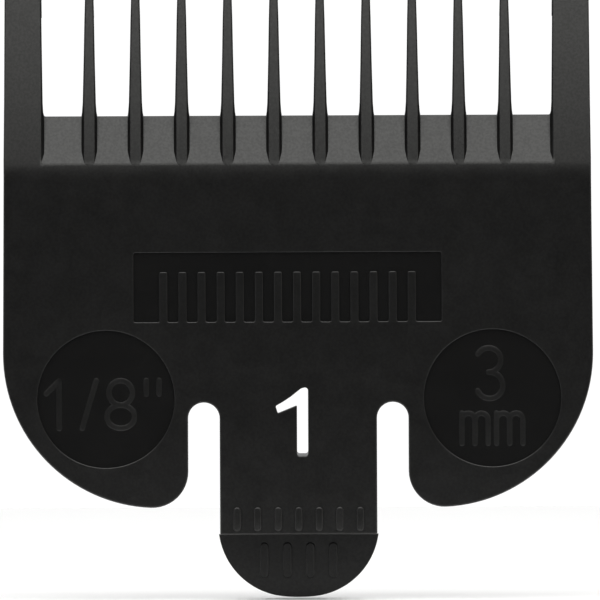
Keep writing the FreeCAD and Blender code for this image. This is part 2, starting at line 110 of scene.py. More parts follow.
# Recesses for the size marks, and the sunk comb symbol.
MARK_CENTRE_X = 15.07
MARK_SHIFT = 0.08                       # both recesses stand this far to the right
MARK_CENTRE_Z = -9.1
MARK_RECESS_RADIUS = 5.35
MARK_FLOOR = FACE + 0.25
STROKE_HALF = 0.4                       # a character's stroke is the top of an oval bar, sunk in the floor
STROKE_HIGH = 0.133
STROKE_SUNK = 0.111
SYMBOL_LEFT, SYMBOL_RIGHT = -12.8, 11.2
SYMBOL_TOP, SYMBOL_FOOT = 2.3, -3.1
SYMBOL_SPINE = 1.5
SYMBOL_END_TOOTH, SYMBOL_TOOTH = 2.0, 0.85
SYMBOL_TEETH = 13
SYMBOL_CORNER = 0.14
SYMBOL_FLOOR = FACE + 0.2

# The release tongue.
FLEX_STEP, FLEX_STEPS = 0.2, 11         # the tongue bends over this many short lengths below its seam
TAB_SIDE_CENTRE, TAB_SIDE_RADIUS = (0.67, -19.02), 5.67
TAB_FOOT_RADIUS = 12.0
TAB_SHOULDER = -19.75
BAR_HEIGHT = 0.15

# The web and the side view of teeth and rails.
WEB_EDGE = 13.0
WEB_FILLET = 0.18
BEND_RADIUS = 8.0
BEND_ANGLE = math.radians(9)
BEND_END = (FACE + BEND_RADIUS * (1 - math.cos(BEND_ANGLE)), BEND + BEND_RADIUS * math.sin(BEND_ANGLE))
RAMP_END = (-0.35, WEB_EDGE)
BEVEL_START = (0.0, 11.9)
BEVEL_SLOPE = 0.239
CROWN_RADIUS = 219.4
JAW = RAIL_HIGH.y
TIP_RADIUS = 0.65
TIP_CENTRE = (JAW - TIP_RADIUS, RAIL_HIGH.z - TIP_RADIUS)
TIP_START = (2.972, 32.818)
NOTCH_TOP, NOTCH_FAR = 21.9, 3.3
LIP_EDGE, LIP_LEAD = 20.8, 0.4
RAIL_INNER, RAIL_OUTER = RAIL_LOW.x, RAIL_HIGH.x
# height: a rail's inner wall, how wide its chamfer is, how deep it is, and the rail's outer wall
RAIL_SIDES = [(BEND, RAIL_INNER, 0.26, 0, RAIL_OUTER), (9.26, RAIL_INNER, 0.26, 0, RAIL_OUTER),
              (9.6, 19.73, 0.26, 0.24, RAIL_OUTER), (13.0, 19.73, 0.26, 0.3, 22.87),
              (13.3, 19.8, 0.18, 0.2, 22.87), (14.0, 19.84, 0.13, 0.12, 22.86),
              (20.4, 19.94, 0.1, 0.1, 22.84), (33.3, 20.06, 0.1, 0.1, 22.8)]
# heights of a tooth's and a rail's stations, close together where their sides curve
HEIGHTS = [9.4, 9.6, 9.9, 10.3, 10.9, 11.6, 12.3, 13.0, 13.3, 14.0, 15.0, 16.3, 17.6, 19.0, 20.5, 22.0,
           24.0, 26.0, 28.0, 30.0, 31.6]
# height: a tooth's half width, the half width of its outer face, how deep the chamfers beside the face are
TOOTH_SIDES = [(9.0, 0.42, 0.34, 0.16), (9.26, 0.53, 0.38, 0.2), (9.4, 0.58, 0.395, 0.24),
               (9.6, 0.605, 0.4, 0.28), (9.9, 0.62, 0.4, 0.3), (13.0, 0.615, 0.4, 0.32),
               (13.3, 0.57, 0.4, 0.22), (14.0, 0.52, 0.39, 0.15), (15.0, 0.495, 0.375, 0.13),
               (17.3, 0.44, 0.33, 0.12), (20.4, 0.385, 0.28, 0.11), (22.0, 0.34, 0.25, 0.1),
               (34.0, 0.26, 0.19, 0.08)]
TOOTH_ROUND = 0.045
FACE_CROWN = 0.02                       # a tooth's outer face falls this much to its sides
BACK_DRAFT = 0.05                       # a tooth is this much narrower on the blade side, each side
ROOT_ANGLE = 7.4                        # where on the bend a tooth's root starts, in degrees
ROOT_TOP = 9.3                          # up to here the root stands slightly proud of the bend
ROOT_PROUD = 0.012
NEAR = 2e-3                             # vertices this near a height are at its station


# Modelling by hand: each helper is one step at the bench.

def deselect_all():
    bpy.ops.object.select_all(action="DESELECT")


def pick(piece):
    """Makes a piece the active object and the only selected one."""
    deselect_all()
    piece.select_set(True)
    bpy.context.view_layer.objects.active = piece


def apply_placement():
    """Writes the selected piece's place, turn and size into its mesh."""
    bpy.ops.object.transform_apply(location=True, rotation=True, scale=True)


def edit(piece):
    """Opens a piece in edit mode with nothing selected."""
    pick(piece)
    bpy.ops.object.mode_set(mode="EDIT")
    bpy.ops.mesh.select_all(action="DESELECT")
    return bmesh.from_edit_mesh(piece.data)


def close(piece):
    bpy.ops.object.mode_set(mode="OBJECT")
    return piece


def select(piece, kind, wanted):
    """Selects the verts, edges or faces that pass the test, and says how many there are."""
    mesh = bmesh.from_edit_mesh(piece.data)
    bpy.ops.mesh.select_all(action="DESELECT")
    bpy.ops.mesh.select_mode(type={"verts": "VERT", "edges": "EDGE", "faces": "FACE"}[kind])
    chosen = [element for element in getattr(mesh, kind) if wanted(element)]
    for element in chosen:
        element.select = True
    mesh.select_flush_mode()
    bmesh.update_edit_mesh(piece.data)
    return len(chosen)


def middle_of(edge):
    return (edge.verts[0].co + edge.verts[1].co) / 2


def is_sharp(edge, degrees=25):
    return len(edge.link_faces) == 2 and edge.calc_face_angle(0) > math.radians(degrees)


def in_front_view(across, up):
    return Vector((across, 0, up))


def in_side_view(deep, up):
    return Vector((0, deep, up))


class Pen:
    """Draws an outline: one vertex is extruded along straight runs and spun round arcs."""

    def __init__(self, name, start, view):
        self.view = view
        self.axis = (0, 1, 0) if view is in_front_view else (-1, 0, 0)
        self.at = start
        deselect_all()
        bpy.ops.mesh.primitive_plane_add(size=1, location=view(*start))
        self.piece = bpy.context.object
        self.piece.name = name
        apply_placement()
        bpy.ops.object.mode_set(mode="EDIT")
        bpy.ops.mesh.select_mode(type="VERT")
        bpy.ops.mesh.select_all(action="SELECT")
        bpy.ops.mesh.merge(type="CENTER")

    def line(self, *points):
        for point in points:
            step = self.view(*point) - self.view(*self.at)
            bpy.ops.mesh.extrude_region_move(TRANSFORM_OT_translate={"value": step})
            self.at = point
        return self

    def arc(self, centre, degrees, steps):
        """Turns anticlockwise in the view round the centre, or clockwise if the angle is negative."""
        turn = math.radians(degrees)
        bpy.ops.mesh.spin(steps=steps, angle=turn, center=self.view(*centre), axis=self.axis)
        across, up = self.at[0] - centre[0], self.at[1] - centre[1]
        cosine, sine = math.cos(turn), math.sin(turn)
        self.at = (centre[0] + across * cosine - up * sine, centre[1] + across * sine + up * cosine)
        return self

    def mirror(self):
        """Doubles the outline about X = 0."""
        bpy.ops.object.mode_set(mode="OBJECT")
        apply_modifier(self.piece, "MIRROR", use_axis=(True, False, False), merge_threshold=1e-4)
        bpy.ops.object.mode_set(mode="EDIT")
        return self

    def fill(self, *cuts):
        """Closes the outline with a face, and divides it at the heights of the cuts."""
        bpy.ops.mesh.select_all(action="SELECT")
        bpy.ops.mesh.remove_doubles(threshold=1e-4)
        bpy.ops.mesh.edge_face_add()
        for height in cuts:
            bpy.ops.mesh.select_all(action="SELECT")
            bpy.ops.mesh.bisect(plane_co=(0, 0, height), plane_no=(0, 0, 1))
        return self

    def thicken(self, start, end):
        """Gives the face its thickness, from one depth (or one side) to the other."""
        way = Vector(abs(part) for part in self.axis)
        bpy.ops.mesh.select_all(action="SELECT")
        bpy.ops.transform.translate(value=way * start)
        bpy.ops.mesh.extrude_region_move(TRANSFORM_OT_translate={"value": way * (end - start)})
        bpy.ops.mesh.select_all(action="SELECT")
        bpy.ops.mesh.normals_make_consistent(inside=False)
        return close(self.piece)


def apply_modifier(piece, kind, **settings):
    pick(piece)
    modifier = piece.modifiers.new(kind.title(), kind)
    for setting, value in settings.items():
        setattr(modifier, setting, value)
    bpy.ops.object.modifier_apply(modifier=modifier.name)


def combine(piece, tool, operation="DIFFERENCE"):
    """Cuts, joins or intersects the piece with a tool, which is used up."""
    apply_modifier(piece, "BOOLEAN", operation=operation, solver="EXACT", object=tool)
    bpy.data.objects.remove(tool)


def round_edges(piece, wanted, width, segments=3, clamp=True):
    edit(piece)
    select(piece, "edges", wanted)
    bpy.ops.mesh.bevel(offset=width, segments=segments, profile=0.5, affect="EDGES", clamp_overlap=clamp)
    return close(piece)


def block(name, low, high):
    deselect_all()
    low, high = Vector(low), Vector(high)
    bpy.ops.mesh.primitive_cube_add(size=1, location=(low + high) / 2)
    piece = bpy.context.object
    piece.name = name
    piece.scale = high - low
    apply_placement()
    return piece


def disc(name, centre, radius, near, far, vertices=96):
    """A flat cylinder that faces along Y."""
    deselect_all()
    bpy.ops.mesh.primitive_cylinder_add(
        vertices=vertices, radius=radius, depth=far - near, rotation=(math.pi / 2, 0, 0),
        location=(centre[0], (near + far) / 2, centre[1]))
    piece = bpy.context.object
    piece.name = name
    apply_placement()
    return piece


def join(name, pieces):
    deselect_all()
    for piece in pieces:
        piece.select_set(True)
    bpy.context.view_layer.objects.active = pieces[0]
    if len(pieces) > 1:
        bpy.ops.object.join()
    pieces[0].name = name
    return pieces[0]


def copy_of(piece, name, across=0):
    """A copy with its own mesh, moved along X."""
    twin = piece.copy()
    twin.data = piece.data.copy()
    twin.name = name
    bpy.context.collection.objects.link(twin)
    pick(twin)
    twin.location.x = across
    apply_placement()
    return twin


def finish(piece, node, material, smooth=35):
    """Brings a piece to metres, gives it its finish, and lets it stand in for its node."""
    pick(piece)
    piece.scale = (MM, MM, MM)
    apply_placement()
    bpy.ops.object.shade_smooth_by_angle(angle=math.radians(smooth), keep_sharp_edges=False)
    apply_modifier(piece, "WEIGHTED_NORMAL", keep_sharp=True)
    if not piece.data.materials:
        piece.data.materials.append(material)
    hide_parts(node)


def ride_comb(piece, node, material, smooth=35):
    """Finishes a piece of the comb body."""
    finish(piece, node, material, smooth)
    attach(piece, COMB)


def ride_tongue(piece, node, material):
    """Finishes a piece that moves with the tongue's free end."""
    finish(piece, node, material)
    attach(piece, TONGUE)


# Finishes. Every pattern is procedural, on Object coordinates in metres.

class Nodes:
    """A material's or the world's node tree, with one call for each node."""

    def __init__(self, tree):
        self.tree = tree

    def add(self, kind, inputs=(), **settings):
        node = self.tree.nodes.new(kind)
        for name, value in settings.items():
            setattr(node, name, value)
        for name, value in dict(inputs).items():
            if isinstance(value, bpy.types.NodeSocket):
                self.tree.links.new(value, node.inputs[name])
            else:
                node.inputs[name].default_value = value
        return node

    def stretched(self, scale):
        """Object coordinates, stretched."""
        place = self.add("ShaderNodeTexCoord").outputs["Object"]
        return self.add("ShaderNodeMapping", {"Vector": place, "Scale": scale}).outputs["Vector"]

    def noise(self, scale, detail=2.0, roughness=0.5, stretch=(1, 1, 1)):
        place = self.stretched(stretch)
        inputs = {"Vector": place, "Scale": scale, "Detail": detail, "Roughness": roughness}
        return self.add("ShaderNodeTexNoise", inputs).outputs["Fac"]

    def between(self, factor, low, high, from_low=0.35, from_high=0.65):
        """The factor's middle stretch mapped from low to high."""
        inputs = {"Value": factor, "From Min": from_low, "From Max": from_high,
                  "To Min": low, "To Max": high}
        return self.add("ShaderNodeMapRange", inputs).outputs["Result"]

    def mixed(self, factor, first, second):
        """The first colour where the factor is 0, the second where it is 1."""
        node = self.tree.nodes.new("ShaderNodeMix")
        node.data_type = "RGBA"
        self.tree.links.new(factor, node.inputs["Factor"])
        for socket, value in (("A_Color", first), ("B_Color", second)):
            target = next(port for port in node.inputs if port.identifier == socket)
            if isinstance(value, bpy.types.NodeSocket):
                self.tree.links.new(value, target)
            else:
                target.default_value = value
        return next(port for port in node.outputs if port.identifier == "Result_Color")

    def bump(self, height, distance, normal=None):
        inputs = {"Height": height, "Distance": distance}
        if normal:
            inputs["Normal"] = normal
        return self.add("ShaderNodeBump", inputs).outputs["Normal"]


def black(value, warmth=0.0):
    return (value * (1 + warmth), value, value * (1 - warmth), 1)


def moulded_nylon(name, dark, light, rough_low, rough_high, grain, ripple):
    """Black nylon as it leaves the mould: faint flow streaks, a fine grain, and a slow ripple."""
    material = bpy.data.materials.new(name)
    material.use_nodes = True
    nodes = Nodes(material.node_tree)
    shader = material.node_tree.nodes["Principled BSDF"]
    streaks = nodes.noise(900, detail=3, stretch=(0.12, 1, 1))
    clouds = nodes.noise(220, detail=4, roughness=0.6)
    fine = nodes.noise(16000, detail=2)
    slow = nodes.noise(110, detail=1)
    scuffs = nodes.noise(2600, detail=5, roughness=0.7, stretch=(1, 1, 0.16))
    base = nodes.mixed(nodes.between(clouds, 0, 1), black(dark), black(light))
    base = nodes.mixed(nodes.between(streaks, 0, 0.5), base, black(light, 0.04))
    base = nodes.mixed(nodes.between(scuffs, 0, 1, 0.66, 0.8), base, black(light * 1.7))
    material.node_tree.links.new(base, shader.inputs["Base Color"])
    rough = nodes.between(nodes.noise(700, detail=4, roughness=0.6), rough_low, rough_high)
    material.node_tree.links.new(rough, shader.inputs["Roughness"])
    normal = nodes.bump(slow, ripple)
    normal = nodes.bump(fine, grain, normal=normal)
    material.node_tree.links.new(normal, shader.inputs["Normal"])
    glint = nodes.between(nodes.noise(5200, detail=1), 0.45, 0.55)
    material.node_tree.links.new(glint, shader.inputs["Specular IOR Level"])
    shader.inputs["IOR"].default_value = 1.5
    return material


SATIN = moulded_nylon("satin_black_nylon", 0.0038, 0.005, 0.28, 0.33, 4e-6, 6e-6)
POLISHED = moulded_nylon("polished_black_nylon", 0.0038, 0.0048, 0.15, 0.2, 8e-7, 4e-6)
# Raised marks and grip bars: the same nylon with a rougher finish, and a base colour about a fifth lighter
# than the plate's. That lighter base is painted light standing in for the light their crowns catch.
RAISED_PAINTED_LIGHTER = moulded_nylon("raised_nylon_painted_lighter", 0.0045, 0.006, 0.28, 0.34, 2e-6, 4e-6)


def give_material(piece, material, wanted):
    """Paints the faces that pass the test with another material."""
    piece.data.materials.append(material)
    edit(piece)
    select(piece, "faces", wanted)
    piece.active_material_index = len(piece.data.materials) - 1
    bpy.ops.object.material_slot_assign()
    close(piece)


# The comb body.

def digit_cutter():
    """The size number as a tool that reaches past both faces of the plate."""
    near, far = FACE - 1, 1
    pen = Pen("digit", DIGIT[0], in_front_view)
    pen.line(*DIGIT[1:])
    cutter = pen.fill().thicken(near, far)
    for is_there, width, segments in ((is_digit_foot, DIGIT_FOOT_ROUND, 3),
                                      (is_digit_shoulder, DIGIT_SHOULDER_ROUND, 5),
                                      (is_digit_corner, DIGIT_CORNER_ROUND, 3)):
        round_edges(cutter, lambda edge: is_across(edge) and is_there(middle_of(edge)), width, segments)
    edit(cutter)
    select(cutter, "verts", lambda vert: is_digit_foot(vert.co) and vert.co.y > 0)
    lean = DIGIT_LEAN * (far - near) / (TONGUE_HIGH.y - TONGUE_LOW.y)
    bpy.ops.transform.translate(value=(0, 0, lean))
    return close(cutter)


def is_across(edge):
    """Does the edge run along Y?"""
    return abs(edge.verts[0].co.y - edge.verts[1].co.y) > 0.5


def is_digit_foot(point):
    return point.z < DIGIT[0][1] + 0.5


def is_digit_shoulder(point):
    return point.x > 0.2 and point.z > -9


def is_digit_corner(point):
    """The flag's two corners, and the one where it meets the stem."""
    return point.x < -1.5 or abs(point.z - DIGIT[-1][1]) < 0.01


def symbol_cutter():
    """A comb seen from the side: a spine with teeth that point down."""
    spine = SYMBOL_TOP - SYMBOL_SPINE
    pen = Pen("symbol", (SYMBOL_LEFT, SYMBOL_TOP), in_front_view)
    pen.line((SYMBOL_RIGHT, SYMBOL_TOP), (SYMBOL_RIGHT, SYMBOL_FOOT))
    edge = SYMBOL_RIGHT - SYMBOL_END_TOOTH
    pen.line((edge, SYMBOL_FOOT), (edge, spine))
    room = SYMBOL_RIGHT - SYMBOL_LEFT - 2 * SYMBOL_END_TOOTH
    gap = (room - SYMBOL_TEETH * SYMBOL_TOOTH) / (SYMBOL_TEETH + 1)
    for _ in range(SYMBOL_TEETH):
        near = edge - gap
        edge = near - SYMBOL_TOOTH
        pen.line((near, spine), (near, SYMBOL_FOOT), (edge, SYMBOL_FOOT), (edge, spine))
    last = SYMBOL_LEFT + SYMBOL_END_TOOTH
    pen.line((last, spine), (last, SYMBOL_FOOT), (SYMBOL_LEFT, SYMBOL_FOOT))
    cutter = pen.fill().thicken(FACE - 1, SYMBOL_FLOOR)
    return round_edges(cutter, is_across, SYMBOL_CORNER)


def plate_outline():
    """Half of the plate, from the seam at the tongue round one slot and ear to the front bend, mirrored."""
    slot_x = (SLOT_INNER + SLOT_OUTER) / 2
    ear_x = EAR_HALF - EAR_RADIUS
    ear_z = PLATE_LOW.z + EAR_RADIUS
    offset = EAR_CORNER_X - ear_x
    corner_z = ear_z - math.sqrt((EAR_RADIUS - EAR_CORNER_RADIUS) ** 2 - offset ** 2)
    meeting = math.degrees(math.atan2(offset, ear_z - corner_z))
    pen = Pen("plate", (0, SEAM), in_front_view)
    pen.line((SLOT_INNER, SEAM))
    pen.arc((slot_x, SEAM), -180, 20)
    pen.line((SLOT_OUTER, corner_z))
    pen.arc((EAR_CORNER_X, corner_z), 90 + meeting, 12)
    pen.arc((ear_x, ear_z), 90 - meeting, 32)
    pen.line((PLATE_HALF_AT_BEND, BEND), (0, BEND))
    return pen.mirror().fill().thicken(FACE, PLATE_HIGH.y)


def is_plate_rim(edge, face):
    """An outline edge on one face of the plate, away from the seams with the web and the tongue."""
    middle = middle_of(edge)
    on_face = all(abs(vert.co.y - face) < 1e-3 for vert in edge.verts)
    at_seam = middle.z > BEND - 0.01 or (abs(middle.z - SEAM) < 0.01 and abs(middle.x) < SLOT_INNER)
    return on_face and is_sharp(edge) and not at_seam


def make_plate():
    """The plate with everything cut into it, down to the seam where the tongue takes over."""
    plate = plate_outline()
    round_edges(plate, lambda edge: is_plate_rim(edge, FACE), EDGE_ROUND, 4)
    round_edges(plate, lambda edge: is_plate_rim(edge, PLATE_HIGH.y), EDGE_ROUND)
    combine(plate, digit_cutter())
    combine(plate, block("relief", (-SLOT_INNER, TONGUE_HIGH.y, SEAM - 1), (SLOT_INNER, 1, RELIEF_TOP)))
    for side in (-1, 1):
        centre = (side * MARK_CENTRE_X + MARK_SHIFT, MARK_CENTRE_Z)
        combine(plate, disc("recess", centre, MARK_RECESS_RADIUS, FACE - 1, MARK_FLOOR))
    combine(plate, symbol_cutter())
    for x in EJECTOR_X:
        for z in EJECTOR_Z:
            combine(plate, disc("ejector", (x, z), EJECTOR_RADIUS, -EJECTOR_DEEP, 1, vertices=40))
    round_edges(plate, is_sunk_rim, RIM_ROUND, 4, clamp=False)
    plate.data.materials.append(SATIN)
    give_material(plate, POLISHED, is_sunk_floor)
    ride_comb(plate, "base_plate", SATIN, smooth=25)


def is_sunk_rim(edge):
    """A rim on the outer face of a recess, the symbol or the number."""
    on_face = all(abs(vert.co.y - FACE) < 1e-3 for vert in edge.verts)
    flat = [face for face in edge.link_faces if face.normal.y < -0.99]
    walls = [face for face in edge.link_faces if abs(face.normal.y) < 0.2]
    at_seam = abs(middle_of(edge).z - SEAM) < 0.01 or middle_of(edge).z > BEND - 0.01
    return on_face and len(flat) == 1 and len(walls) == 1 and not at_seam


def is_sunk_floor(face):
    """The floor of a mark's recess or of the symbol."""
    depth = face.calc_center_median().y
    return face.normal.y < -0.99 and (abs(depth - MARK_FLOOR) < 1e-3 or abs(depth - SYMBOL_FLOOR) < 1e-3)


def web_front():
    """The web's front view: a fillet at each side of every tooth, and ends that run under the rails."""
    tucked, corner = RAIL_INNER + 0.2, RAIL_INNER + 0.06
    half = 0.45
    rise = WEB_EDGE + WEB_FILLET
    pen = Pen("web_front", (0, BEND), in_front_view)
    pen.line((RAIL_INNER, BEND), (RAIL_INNER, BEND_END[1]), (tucked, BEND_END[1] + 0.1))
    pen.line((tucked, rise), (corner, rise))
    pen.arc((corner - WEB_FILLET, rise), -90, 4)
    for centre in reversed([tooth_centre(node) for node in TEETH if tooth_centre(node) > 0]):
        right, left = centre + half + WEB_FILLET, centre - half - WEB_FILLET
        pen.line((right, WEB_EDGE))
        pen.arc((right, rise), -90, 4)
        pen.line((centre - half, rise))
        pen.arc((left, rise), -90, 4)
    pen.line((0, WEB_EDGE))
    return pen.mirror().fill().thicken(-4, 2)


def make_web():
    """The ramp between the rails: its side view, trimmed to its front view."""
    front = web_front()
    ramp_slope = (RAMP_END[0] - BEND_END[0]) / (RAMP_END[1] - BEND_END[1])
    over = 0.3
    top = WEB_EDGE + over
    pen = Pen("web", (PLATE_HIGH.y, BEND), in_side_view)
    pen.line((FACE, BEND))
    pen.arc((FACE + BEND_RADIUS, BEND), -math.degrees(BEND_ANGLE), 6)
    pen.line((RAMP_END[0] + ramp_slope * over, top), (BEVEL_SLOPE * (top - BEVEL_START[1]), top))
    pen.line(BEVEL_START)
    web = pen.fill().thicken(-RAIL_INNER - 1, RAIL_INNER + 1)
    combine(web, front, "INTERSECT")
    round_edges(web, lambda edge: is_sharp(edge, 40) and middle_of(edge).z > WEB_EDGE - 0.01, 0.09)
    round_edges(web, lambda edge: is_sharp(edge, 10) and is_ramp_foot(middle_of(edge)), EDGE_ROUND)
    ride_comb(web, "front_web", SATIN)


def is_ramp_foot(point):
    return abs(point.z - BEND_END[1]) < 1e-3 and point.y < FACE / 2


def tooth_centre(node):
    low, high = box_mm(node)
    return (low.x + high.x) / 2


def outer_depth(height):
    """Depth of a tooth's outer edge: a slow arc from the bend's end to the tip's round."""
    chord = Vector(TIP_START) - Vector(BEND_END)
    sag = CROWN_RADIUS - math.sqrt(CROWN_RADIUS ** 2 - (chord.length / 2) ** 2)
    middle = (Vector(BEND_END) + Vector(TIP_START)) / 2
    inwards = Vector((chord.y, -chord.x)).normalized()
    centre = middle + inwards * (CROWN_RADIUS - sag)
    return centre.x - math.sqrt(CROWN_RADIUS ** 2 - (height - centre.y) ** 2)


def draw_nose(pen):
    """The outer edge, the tip and the jaw of a tooth or rail, from the bend's end to the notch."""
    pen.line(*[(outer_depth(height), height) for height in HEIGHTS])
    pen.line(TIP_START)
    start = math.atan2(TIP_START[1] - TIP_CENTRE[1], TIP_START[0] - TIP_CENTRE[0])
    pen.arc(TIP_CENTRE, -math.degrees(start), 8)
    pen.line((JAW, LIP_EDGE), (NOTCH_FAR + LIP_LEAD, LIP_EDGE), (NOTCH_FAR, LIP_EDGE + LIP_LEAD))
    pen.line((NOTCH_FAR, NOTCH_TOP), (BEVEL_SLOPE * (NOTCH_TOP - BEVEL_START[1]), NOTCH_TOP))


def stations(piece):
    """The heights at which the piece has vertices."""
    return sorted({round(vert.co.z, 4) for vert in bmesh.from_edit_mesh(piece.data).verts})


def interpolate(table, height, column):
    for lower, upper in zip(table, table[1:]):
        if height <= upper[0]:
            share = max(0, (height - lower[0]) / (upper[0] - lower[0]))
            return lower[column] + share * (upper[column] - lower[column])
    return table[-1][column]


def tip_share(height):
    """How much of its width a tooth keeps at a height: all of it, until the tip rounds it off."""
    over = (height - TIP_CENTRE[1]) / TIP_RADIUS
    return 1.0 if over <= 0 else 0.55 + 0.45 * math.sqrt(max(0, 1 - over ** 2))


def divide_across(piece, columns):
    """Cuts the piece's faces at each column's place across, and leaves it open in edit mode."""
    edit(piece)
    for across in columns:
        bpy.ops.mesh.select_all(action="SELECT")
        bpy.ops.mesh.bisect(plane_co=(across, 0, 0), plane_no=(1, 0, 0))


def shape_face(piece, height, outer, columns):
    """Moves one station's outer vertices, column by column, to their place across and their depth."""
    for column, across, drop in columns:
        select(piece, "verts", lambda vert: abs(vert.co.z - height) < NEAR and vert.co.y < outer
               and abs(vert.co.x - column) < 1e-3)
        bpy.ops.transform.translate(value=(across - column, drop, 0))


def tooth_outline():
    """A tooth's side view: its root starts on the bend, and its back lies just inside the web."""
    inside = 0.15
    root = math.radians(ROOT_ANGLE)
    start = (FACE + BEND_RADIUS * (1 - math.cos(root)), BEND + BEND_RADIUS * math.sin(root))
    pen = Pen("tooth", start, in_side_view)
    pen.line(BEND_END)
    draw_nose(pen)
    pen.line((BEVEL_SLOPE * (WEB_EDGE - BEVEL_START[1]), WEB_EDGE))
    pen.line((RAMP_END[0] + inside, RAMP_END[1] - inside), (BEND_END[0] + 4 * inside, start[1]))
    return pen.fill(BEND_END[1], *HEIGHTS).thicken(-1, 1)


def make_teeth():
    """One tooth with a chamfer each side of its outer face, copied to every place."""
    tooth = tooth_outline()
    inner_column = 0.7
    divide_across(tooth, (-inner_column, 0, inner_column))
    for height in stations(tooth):
        outer = outer_depth(min(height, TIP_START[1])) + 0.03
        half, face, drop = (interpolate(TOOTH_SIDES, height, column) for column in (1, 2, 3))
        kept = tip_share(height)
        back = half - (BACK_DRAFT if height > WEB_EDGE else 0)
        select(tooth, "verts", lambda vert: abs(vert.co.z - height) < NEAR and vert.co.y > outer)
        bpy.ops.transform.resize(value=(back * kept, 1, 1), center_override=(0, 0, 0))
        for sign in (-1, 1):
            wall = (sign, sign * half * kept, drop * kept)
            crown = (sign * inner_column, sign * face * kept, FACE_CROWN)
            shape_face(tooth, height, outer, [wall, crown])
        if height < ROOT_TOP:
            select(tooth, "verts", lambda vert: abs(vert.co.z - height) < NEAR)
            bpy.ops.transform.translate(value=(0, -ROOT_PROUD, 0))
    close(tooth)
    round_edges(tooth, lambda edge: is_sharp(edge, 24) and middle_of(edge).z > BEND_END[1] + 0.05,
                TOOTH_ROUND, 2)
    for node in TEETH:
        piece = copy_of(tooth, f"{node}_moulded", tooth_centre(node))
        ride_comb(piece, node, SATIN)
    bpy.data.objects.remove(tooth)


def make_rails():
    """A rail is a wide tooth that starts at the bend, with a chamfer on its inner side only."""
    pen = Pen("right_rail_moulded", (FACE, BEND), in_side_view)
    pen.arc((FACE + BEND_RADIUS, BEND), -math.degrees(BEND_ANGLE), 6)
    draw_nose(pen)
    pen.line(BEVEL_START, (PLATE_HIGH.y, BEND))
    rail = pen.fill(BEND_END[1], *HEIGHTS).thicken(0, 1)
    face_column, flat_column = 0.1, 0.14
    divide_across(rail, (face_column, flat_column))
    for height in stations(rail):
        outer_face = outer_depth(min(height, TIP_START[1])) + 0.03 if height > BEND_END[1] else FACE + 0.15
        wall, chamfer, drop, outer = (interpolate(RAIL_SIDES, height, column) for column in (1, 2, 3, 4))
        back = wall + (BACK_DRAFT if height > WEB_EDGE else 0)
        face, flat = wall + chamfer, wall + chamfer + 0.1
        for column, across, back_across, depth in ((0, wall, back, drop), (face_column, face, face, 0),
                                                   (flat_column, flat, flat, 0), (1, outer, outer, 0)):
            select(rail, "verts", lambda vert: abs(vert.co.z - height) < NEAR and vert.co.y >= outer_face
                   and abs(vert.co.x - column) < 1e-3)
            bpy.ops.transform.translate(value=(back_across - column, 0, 0))
            shape_face(rail, height, outer_face, [(column, across, depth)])
    close(rail)
    round_edges(rail, lambda edge: is_sharp(edge, 50) and is_rail_outer(edge), EDGE_ROUND, 4)
    round_edges(rail, lambda edge: is_sharp(edge, 24) and is_rail_inner(edge), TOOTH_ROUND, 2)
    left = copy_of(rail, "left_rail_moulded")
    edit(left)
    bpy.ops.mesh.select_all(action="SELECT")
    bpy.ops.transform.resize(value=(-1, 1, 1), center_override=(0, 0, 0))
    bpy.ops.mesh.normals_make_consistent(inside=False)
    close(left)
    for piece, node in ((rail, "right_rail"), (left, "left_rail")):
        ride_comb(piece, node, SATIN)


def is_on_outer_wall(point):
    return abs(point.x) > RAIL_OUTER - 0.3


def is_rail_outer(edge):
    middle = middle_of(edge)
    return is_on_outer_wall(middle) and middle.z > BEND + 0.01


def is_rail_inner(edge):
    """An inner edge that the web doesn't meet: any above it, and those on the outer face beside it."""
    middle = middle_of(edge)
    is_free = middle.z > WEB_EDGE + 0.01 or middle.y < RAMP_END[0] - 0.2
    return not is_on_outer_wall(middle) and middle.z > BEND_END[1] + 0.4 and is_free


# The raised size marks.

def draw_stroke(name, start, moves):
    """A pen stroke with round ends: a flattened bar that only shows its crown."""
    pen = Pen(name, start, in_front_view)
    for move in moves:
        if len(move) == 2:
            pen.line(move)
        else:
            pen.arc(*move)
    stroke = close(pen.piece)
    bpy.ops.object.convert(target="CURVE")
    stroke.data.bevel_depth = STROKE_HALF
    stroke.data.bevel_resolution = 8
    bpy.ops.object.convert(target="MESH")
    parts = [stroke]
    for end in (start, pen.at):
        deselect_all()
        bpy.ops.mesh.primitive_uv_sphere_add(
            segments=32, ring_count=20, radius=STROKE_HALF, location=in_front_view(*end))
        apply_placement()
        parts.append(bpy.context.object)
    stroke = join(name, parts)
    stroke.scale.y = STROKE_HIGH / STROKE_HALF
    stroke.location.y = MARK_FLOOR + STROKE_SUNK
    apply_placement()
    return stroke


def ellipse_points(centre, half_wide, half_high, steps=32):
    turns = [2 * math.pi * step / steps for step in range(steps + 1)]
    return [(centre[0] + half_wide * math.cos(turn), centre[1] + half_high * math.sin(turn))
            for turn in turns]


def letter_m(left, foot, width, top):
    """Three legs under two arches."""
    reach = width / 4
    shoulder = top - reach
    strokes = [draw_stroke("leg", (left, foot), [(left, top)])]
    for leg in (left, left + 2 * reach):
        arch = ((leg + reach, shoulder), -180, 8)
        strokes.append(draw_stroke("arch", (leg, shoulder), [arch, (leg + 2 * reach, foot)]))
    return strokes


